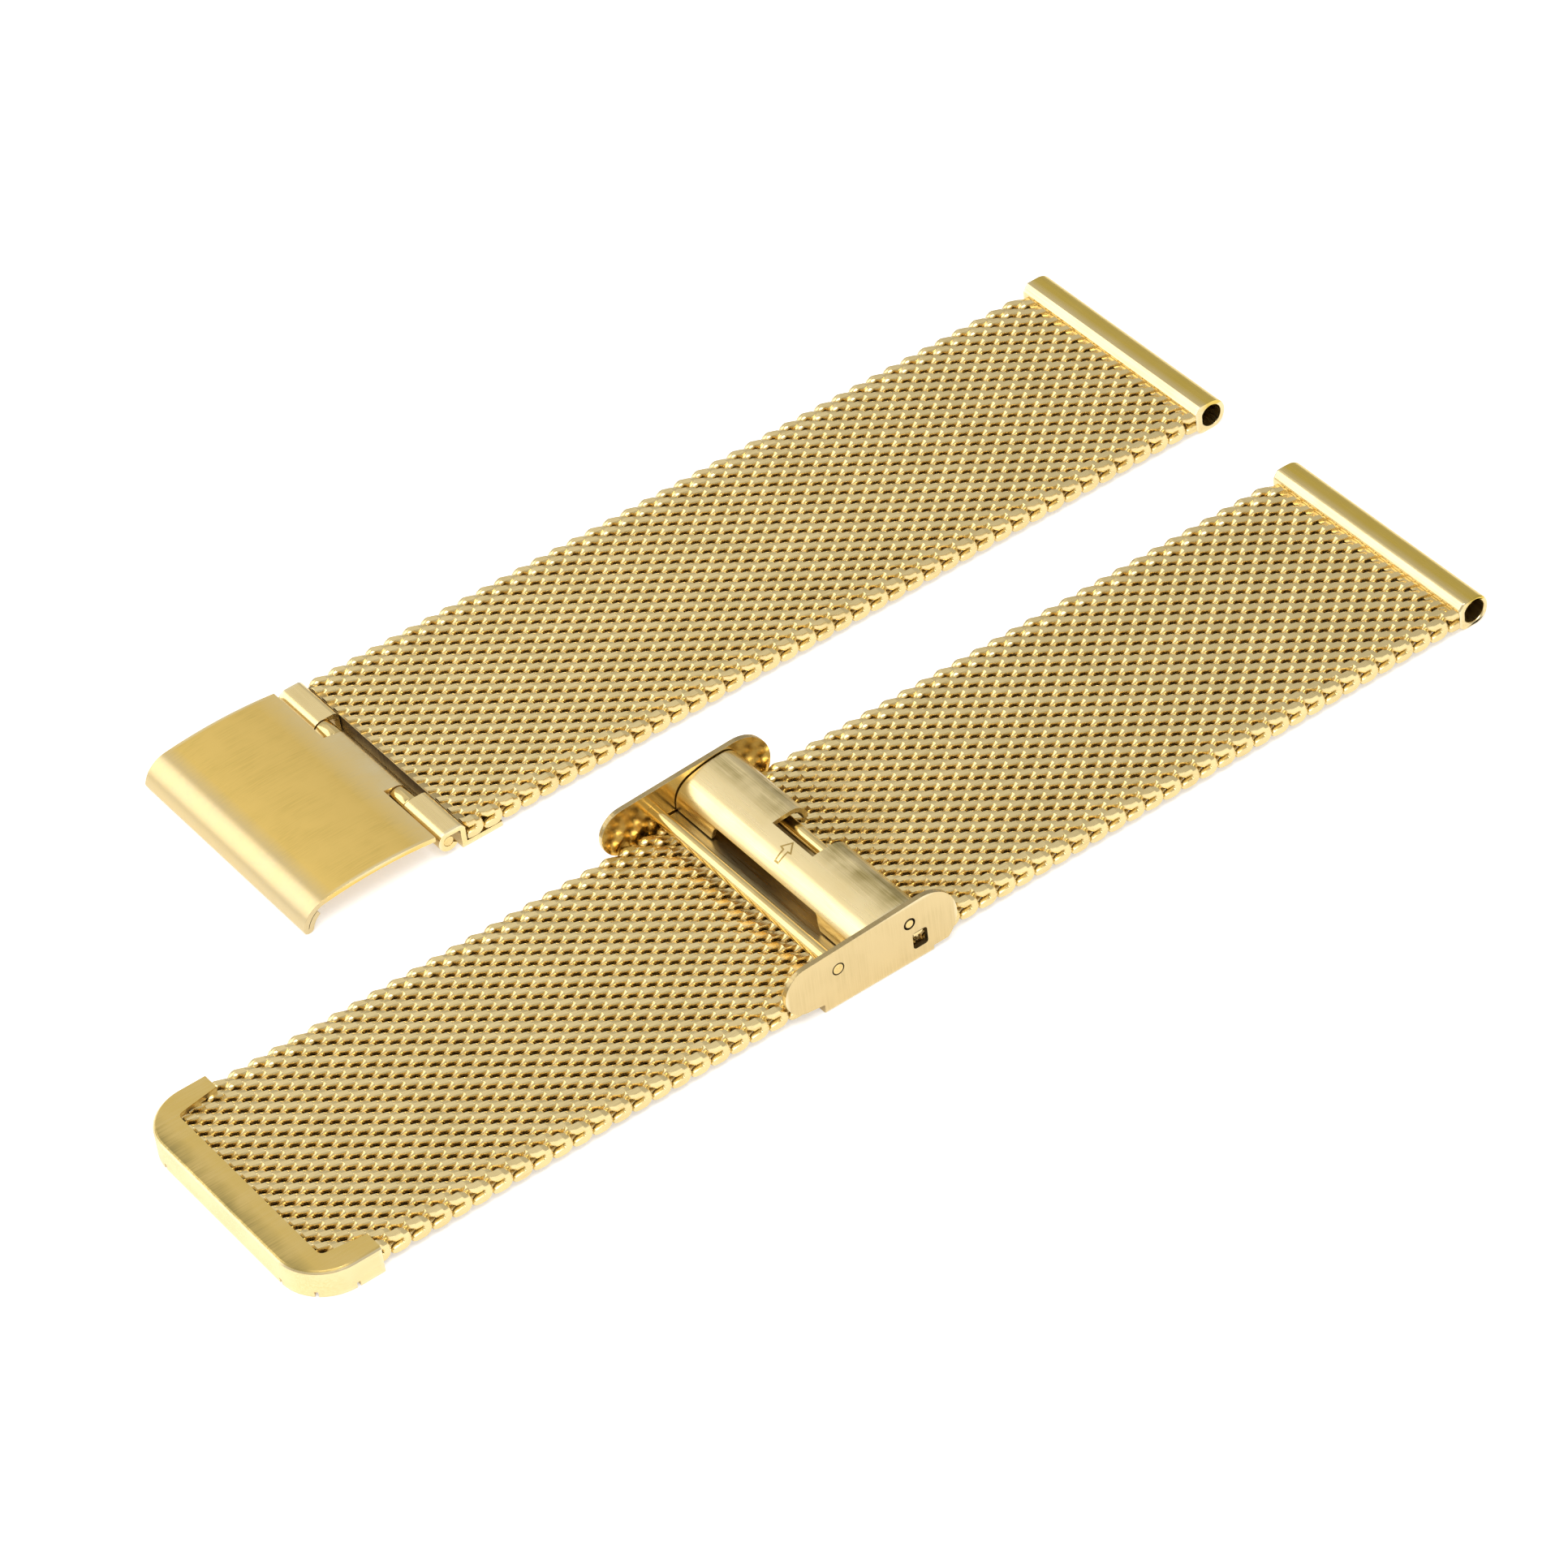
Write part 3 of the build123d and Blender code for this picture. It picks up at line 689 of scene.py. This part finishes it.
def press_corner(piece, side):
    """Presses the wire at a corner of the tail onto the round pocket of the cap."""
    centre_y = BAND_B_Y + side * (ROW_HALF - CORNER_RADIUS)
    centre = Vector(((MESH_B_X + CORNER_RADIUS) * MM, centre_y * MM, 0))
    for vertex in piece.data.vertices:
        out = Vector((vertex.co.x - centre.x, vertex.co.y - centre.y, 0))
        if out.x < 0 and side * out.y > 0 and out.length > CORNER_RADIUS * MM:
            vertex.co -= out * (1 - CORNER_RADIUS * MM / out.length)


press_flat(links_a[0], 0, MESH_A_X, -1)
press_flat(links_a[-1], 0, TUBE_A_X, 1)
press_flat(links_b[0], 0, MESH_B_X, -1)
press_flat(links_b[-1], 0, TUBE_B_X, 1)
for side in (-1, 1):
    press_corner(links_b[0], side)
mesh_links = links_a + links_b
for link in mesh_links:
    pick(link)
    bpy.ops.object.shade_smooth_by_angle(angle=WIRE_SMOOTH)
triangles = sum(len(face.vertices) - 2 for link in mesh_links for face in link.data.polygons)
print("mesh triangles", triangles)

# %% [markdown]
# The plates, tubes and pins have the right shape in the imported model, but a sheet edge without any
# rounding looks drawn rather than made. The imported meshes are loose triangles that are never
# changed, so each gets a copy: merged to clean faces, rounded by a narrow bevel, and with weighted
# normals, which keep its flats flat. Each plate has its own satin gold, with rims rubbed pale.

# %% Metal pieces
MERGE_DISTANCE = 0.001 * MM
SAME_PLANE = math.radians(0.5)
BEVEL_ANGLE = math.radians(32)
METAL_SMOOTH = math.radians(40)
SATIN_DEPTH = 0.0015 * MM
SATIN_SWAY = 0.05
RIM_WIDTH = 0.3 * MM
RUBBED = (0.92, 0.79, 0.50)


def merged_copy(node):
    """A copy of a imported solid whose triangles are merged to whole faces."""
    pick(frame["nodes"][node])
    bpy.ops.object.duplicate()
    piece = bpy.context.object
    piece.name = node + "_metal"
    bpy.ops.object.mode_set(mode="EDIT")
    bpy.ops.mesh.select_all(action="SELECT")
    bpy.ops.mesh.remove_doubles(threshold=MERGE_DISTANCE)
    bpy.ops.mesh.dissolve_limited(angle_limit=SAME_PLANE)
    bpy.ops.object.mode_set(mode="OBJECT")
    return piece


def finish_metal(piece, node, bevel, segments, material):
    """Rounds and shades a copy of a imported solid, which it replaces."""
    add_modifier(
        piece, "BEVEL", width=bevel * MM, segments=segments, limit_method="ANGLE",
        angle_limit=BEVEL_ANGLE)
    bpy.ops.object.shade_smooth_by_angle(angle=METAL_SMOOTH)
    add_modifier(piece, "WEIGHTED_NORMAL", keep_sharp=True)
    piece.data.materials.clear()
    piece.data.materials.append(material)
    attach(piece, BODY_OF[node])
    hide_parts(node)
    print(piece.name, len(piece.data.polygons), "faces")


def satin(node, grain, colours, roughness):
    """A satin gold for one node, with grain along an axis and rims rubbed pale."""
    bright, dull = colours
    material = gold(node + "_gold", bright, dull, roughness, grain, SATIN_DEPTH, SATIN_SWAY)
    low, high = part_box(node)
    rim = place_group(material.node_tree, RIM, {"Low": low, "High": high, "Width": RIM_WIDTH})
    lay_over(material, rim.outputs["Rim"], RUBBED)
    return material


# %% [markdown]
# The sheet parts and the tubes come first. They are one gold, but each part gets its own tone as
# painted light: paler where its highlights look pale, deeper where it looks darker. The cover is the
# richest gold, the flap the brightest, and the slider the softest. The cap's two arms end in upright
# edges that a finger meets, so these get a larger rounding of their own before the general one,
# picked out by their bevel weight.

# %% Plates and tubes
# Tones of one gold, set per part as painted light.
RICH = ((0.90, 0.63, 0.18), (0.80, 0.56, 0.15))
PALE = ((0.92, 0.74, 0.40), (0.82, 0.65, 0.31))
SOFT = ((0.76, 0.59, 0.30), (0.69, 0.53, 0.26))
SMOOTH = ((0.94, 0.74, 0.36), (0.89, 0.69, 0.32))
BRIGHT = ((0.96, 0.78, 0.42), (0.90, 0.71, 0.34))
# Node, axis of the grain, bevel, bright and dull colour, roughness.
PLATES = (
    ("lug_tube_a", "y", 0.4, PALE, 0.24), ("lug_tube_b", "y", 0.4, PALE, 0.24),
    ("clasp_connector", "y", 0.14, SMOOTH, 0.26), ("cover_plate", "x", 0.07, RICH, 0.36),
    ("slider_housing", "z", 0.06, SOFT, 0.34), ("locking_flap", "y", 0.07, BRIGHT, 0.3),
    ("tail_cap", "x", 0.16, PALE, 0.32))
PLATE_SEGMENTS = 3
CAP_ARM = 5.5  # the arms' ends lie past this, from the cap's tip
CAP_ARM_ROUND = 0.4
CAP_ARM_SEGMENTS = 5
PLUMB = 0.01 * MM  # an upright edge leans less than this


def round_upright(piece, low_x, radius):
    """Rounds the upright edges of a piece that lie past low_x, before its general bevel."""
    weights = piece.data.attributes.new("bevel_weight_edge", "FLOAT", "EDGE")
    for edge in piece.data.edges:
        first, second = (piece.data.vertices[index].co for index in edge.vertices)
        is_upright = (first - second).xy.length < PLUMB
        weights.data[edge.index].value = float(is_upright and min(first.x, second.x) > low_x)
    add_modifier(
        piece, "BEVEL", width=radius * MM, segments=CAP_ARM_SEGMENTS, limit_method="WEIGHT",
        use_clamp_overlap=True)
    piece.data.attributes.remove(piece.data.attributes["bevel_weight_edge"])


metal = {}
for node, grain, bevel, colours, roughness in PLATES:
    material = satin(node, grain, colours, roughness)
    metal[node] = merged_copy(node)
    if node == "tail_cap":
        round_upright(metal[node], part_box(node)[0][0] + CAP_ARM * MM, CAP_ARM_ROUND)
    finish_metal(metal[node], node, bevel, PLATE_SEGMENTS, material)

# %% [markdown]
# The pins and the hook are polished and hardly rubbed, so they share one gold. The clamp plate lies
# hidden under the flap, against the mesh, and is painted much darker, as painted shade.

# %% Pins, hook and clamp
PIN_SEGMENTS = 2
# Node, bevel, material.
PINS = (
    ("hinge_pin", 0.06, POLISHED), ("cross_bar", 0.1, POLISHED), ("flap_pin", 0.1, POLISHED),
    ("clamp_plate", 0.04, SHADED_GOLD), ("hook_plate", 0.05, POLISHED))
for node, bevel, material in PINS:
    metal[node] = merged_copy(node)
    finish_metal(metal[node], node, bevel, PIN_SEGMENTS, material)

# %% [markdown]
# Painted light and wear come over the finished colours. The flap's back is olive and streaked:
# painted shade where its roll turns from the lamps, and wear where fingers lift it. The cap is olive
# and streaked towards its tip. The cap's and the tubes' tops are painted a deeper gold, painted
# shade beside their brighter sides, and the cover has painted cream highlights at its curled end and
# paler painted highlights towards its hinge. A stretch starts and ends so many millimetres from the
# low end of a piece, or from its high end where the number is negative. The colour grows from the
# first number to the second, in the top layer of the given thickness or on the whole piece.

# %% Painted light and wear
OLIVE = (0.40, 0.31, 0.11)
OCHRE = (0.76, 0.54, 0.10)
DEEP = (0.76, 0.54, 0.16)
CREAM = (0.70, 0.56, 0.31)
HINGE_HIGHLIGHT = (0.95, 0.78, 0.44)
WHOLE = None
CAP_TOP = 0.12  # thickness of the top layer that is painted
TUBE_TOP = 0.5
# Node, start, end, top layer, colour, mottle.
STRETCHES = (
    # Painted shade on the flap's back, worn too, and on the cap's and tubes' tops; painted
    # highlights on the cover.
    ("locking_flap", 2.5, -1.6, WHOLE, OLIVE, 0.9),
    ("tail_cap", 0.0, 0.1, CAP_TOP, DEEP, 0.2),
    ("tail_cap", 1.5, 0.2, CAP_TOP, OLIVE, 0.9),
    ("cover_plate", 2.8, 1.5, WHOLE, CREAM, 0.2),
    ("cover_plate", -3.6, -0.8, WHOLE, HINGE_HIGHLIGHT, 0.4),
    ("lug_tube_a", 0.4, 1.1, TUBE_TOP, OCHRE, 0.1),
    ("lug_tube_b", 0.4, 1.1, TUBE_TOP, OCHRE, 0.1))

for node, start, end, layer, colour, mottle in STRETCHES:
    low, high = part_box(node)
    start_x, end_x = ((low[0] if x >= 0 else high[0]) + x * MM for x in (start, end))
    above = low[2] if layer is WHOLE else high[2] - layer * MM
    material = metal[node].data.materials[0]
    brushed = material.node_tree.nodes["brushed"]
    stretch = place_group(material.node_tree, LIGHT_AND_WEAR, {
        "Start": start_x, "End": end_x, "Above": above, "Mottle": mottle,
        "Streaks": brushed.outputs["Streaks"], "Patches": brushed.outputs["Patches"]})
    lay_over(material, stretch.outputs["Share"], colour)
    print(node, "tinted from", round(start_x / MM, 2), "to", round(end_x / MM, 2))

# %% [markdown]
# One sheet of metal shows several finishes, and painted shade. Inside, the slider's side plates are
# polished. Their upper rims are painted a shaded gold, and the grooves round the pins and the side
# windows are painted dark brown where shade falls in them. Separate pieces would leave seams, so the
# faces of one piece get different materials, chosen by where a face lies and which way it looks.

# %% Slider, clamp and pin faces
OUTER, INNER, RECESS, TOP_RIM = 0, 1, 2, 3
SLIDER_GAP = 20.3  # between the inner faces of the side plates
WALL_SLACK, GROOVE_SLACK = 0.05, 0.02
# x from the slider's end, height, and how far the painted shade reaches from a pin's middle.
PIN_HOLES = ((4.3, 3.2, 0.54), (10.17, 3.46, 0.52))
WINDOW_X = (10.28, 11.52)  # from the slider's end, with a little slack
WINDOW_Z = (1.03, 2.47)
LOOKS_ASIDE, SLANTS, LOOKS_ALONG = 0.9, 0.5, 0.3  # how much of a normal points along y
LOOKS_UP = 0.2
PIN_END = 0.98  # the flat end of a pin looks squarely along y
slider_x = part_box("slider_housing")[0][0]


def slider_finish_and_shade(face):
    """Which finish a face of the slider has, painted shade included, from its place and its normal.
    """
    x = (face.center.x - slider_x) / MM
    z = face.center.z / MM
    from_middle = abs(face.center.y / MM - BAND_B_Y)
    sideways = abs(face.normal.y)
    by_pin = any(math.hypot(x - hole_x, z - hole_z) < reach for hole_x, hole_z, reach in PIN_HOLES)
    in_window = WINDOW_X[0] < x < WINDOW_X[1] and WINDOW_Z[0] < z < WINDOW_Z[1]
    # Grooves round the pins and the window walls get the dark brown: painted shade.
    if by_pin or (in_window and sideways < SLANTS):
        return RECESS
    if sideways > LOOKS_ASIDE and from_middle < SLIDER_GAP / 2 + WALL_SLACK:
        return INNER
    on_plate = from_middle > SLIDER_GAP / 2
    # Upper rims of the side plates get the darkened gold: painted shade.
    return TOP_RIM if on_plate and sideways < LOOKS_ALONG and face.normal.z > LOOKS_UP else OUTER


def lug_finish(face):
    """The clamp's lugs show bright ends in the side windows."""
    return int(abs(face.normal.y) > LOOKS_ASIDE)


def pin_shade(face):
    """Painted shade in the grooves where a pin's ends pass through the side plates."""
    in_plate = abs(face.center.y / MM - BAND_B_Y) > SLIDER_GAP / 2 + GROOVE_SLACK
    return int(in_plate and abs(face.normal.y) < PIN_END)


# Each entry gives faces the polished finish or painted shade, by where they lie.
FACE_FINISH_AND_SHADE = (
    ("slider_housing", (POLISHED, PAINTED_SHADE, SHADED_GOLD), slider_finish_and_shade),
    ("clamp_plate", (MESH_GOLD,), lug_finish),
    ("cross_bar", (PAINTED_SHADE,), pin_shade),
    ("flap_pin", (PAINTED_SHADE,), pin_shade))
for node, materials, finish in FACE_FINISH_AND_SHADE:
    piece = metal[node]
    for material in materials:
        piece.data.materials.append(material)
    for face in piece.data.polygons:
        face.material_index = finish(face)
    print(node, "faces with another material", sum(f.material_index > 0 for f in piece.data.polygons))

# %% [markdown]
# Where the mesh meets a tube or the clasp it is soldered solid. Filling each hole by itself would
# take hundreds of small forms. One bar inside the weave closes the holes from below, so they are
# shallow beside the metal. At the clasp the bar is the darkened gold and its end face is painted
# dark: painted shade, as the slot there lies in shadow.

# %% Solder
SOLDER_LENGTH = 0.6  # along the strap
SOLDER_DEPTH = 0.22  # below the top of the mesh
SOLDER_SIDE = 9.5  # the bar's reach to each side of the strap's middle line
SOLDER_BEVEL = 0.04
SOLDER_STEP = 0.03  # the bar stands so far out of the mesh at the clasp


def solder_bar(node, face_x, inward, band_y, material):
    """A bar of solder in the weave of a mesh end, from the metal's face inward."""
    deselect()
    middle = (face_x + inward * SOLDER_LENGTH / 2, band_y, MESH_MIDDLE - SOLDER_DEPTH / 2)
    bpy.ops.mesh.primitive_cube_add(size=1, location=[v * MM for v in middle])
    bar = bpy.context.object
    bar.name = node + "_solder"
    bar.scale = [v * MM for v in (SOLDER_LENGTH, 2 * SOLDER_SIDE, 2 * MESH_HALF - SOLDER_DEPTH)]
    bpy.ops.object.transform_apply(location=True, rotation=True, scale=True)
    add_modifier(bar, "BEVEL", width=SOLDER_BEVEL * MM, segments=2)
    bpy.ops.object.shade_smooth_by_angle(angle=METAL_SMOOTH)
    bar.data.materials.append(material)
    # The face that looks back along x gets the dark brown: painted shade.
    bar.data.materials.append(PAINTED_SHADE)
    for face in bar.data.polygons:
        face.material_index = int(face.normal.x < -LOOKS_ASIDE)
    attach(bar, BODY_OF[node])
    print(bar.name, "at x", round(face_x, 2))


solder_bar("mesh_a_1", MESH_A_X - SOLDER_STEP, 1, BAND_A_Y, SHADED_GOLD)
solder_bar("mesh_a_9", TUBE_A_X, -1, BAND_A_Y, MESH_GOLD)
solder_bar("mesh_b_12", TUBE_B_X, -1, BAND_B_Y, MESH_GOLD)

# %% [markdown]
# A small arrow on the flap points at the notch where it is lifted. Cutting it into the curved sheet
# would upset its faces. It is drawn flat as an outline, inset to a fine line, cut finely enough to
# bend, laid on the crown with Shrinkwrap and given a thickness, so that it hugs the sheet.

# %% Arrow
# x and y of the outline's corners, from the arrow's own middle.
ARROW_OUTER = (
    (0.84, 0.13), (0.03, 0.64), (-0.05, 0.26), (-0.92, 0.09), (-0.9, -0.38), (0.0, -0.27),
    (0.06, -0.6))
ARROW_FROM_END = 1.65
ARROW_ASIDE = -0.37
ARROW_LINE = 0.12
ARROW_CUTS = 6
ARROW_LIFT = 0.004  # above the sheet
ARROW_THICKNESS = 0.02
ARROW_BLANK = 0.5  # radius of the circle that becomes the outline
HOVER = 0.5  # height over the flap from which it is laid down
flap_low, flap_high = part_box("locking_flap")
arrow_x = flap_low[0] / MM + ARROW_FROM_END
arrow_y = (flap_low[1] + flap_high[1]) / 2 / MM + ARROW_ASIDE
deselect()
bpy.ops.mesh.primitive_circle_add(
    vertices=len(ARROW_OUTER), radius=ARROW_BLANK * MM, fill_type="NGON",
    location=(arrow_x * MM, arrow_y * MM, flap_high[2] + HOVER * MM))
arrow = bpy.context.object
arrow.name = "flap_arrow"
bpy.ops.object.transform_apply(location=True, rotation=True, scale=True)
for vertex, (along, across) in zip(arrow.data.vertices, ARROW_OUTER):
    vertex.co.x = (arrow_x + along) * MM
    vertex.co.y = (arrow_y + across) * MM
bpy.ops.object.mode_set(mode="EDIT")
bpy.ops.mesh.select_all(action="SELECT")
bpy.ops.mesh.inset(thickness=ARROW_LINE * MM)
bpy.ops.mesh.delete(type="FACE")
bpy.ops.mesh.select_all(action="SELECT")
bpy.ops.mesh.subdivide(number_cuts=ARROW_CUTS)
bpy.ops.mesh.normals_make_consistent(inside=False)
bpy.ops.object.mode_set(mode="OBJECT")
add_modifier(
    arrow, "SHRINKWRAP", target=metal["locking_flap"], wrap_method="PROJECT", use_project_z=True,
    use_negative_direction=True, use_positive_direction=False, offset=ARROW_LIFT * MM)
add_modifier(arrow, "SOLIDIFY", thickness=ARROW_THICKNESS * MM, offset=-1.0)
arrow.data.materials.append(ENGRAVED)
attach(arrow, BODY_OF["locking_flap"])
arrow_z = arrow.data.vertices[0].co.z / MM
print("arrow at", round(arrow_x, 2), round(arrow_y, 2), "z", round(arrow_z, 3))
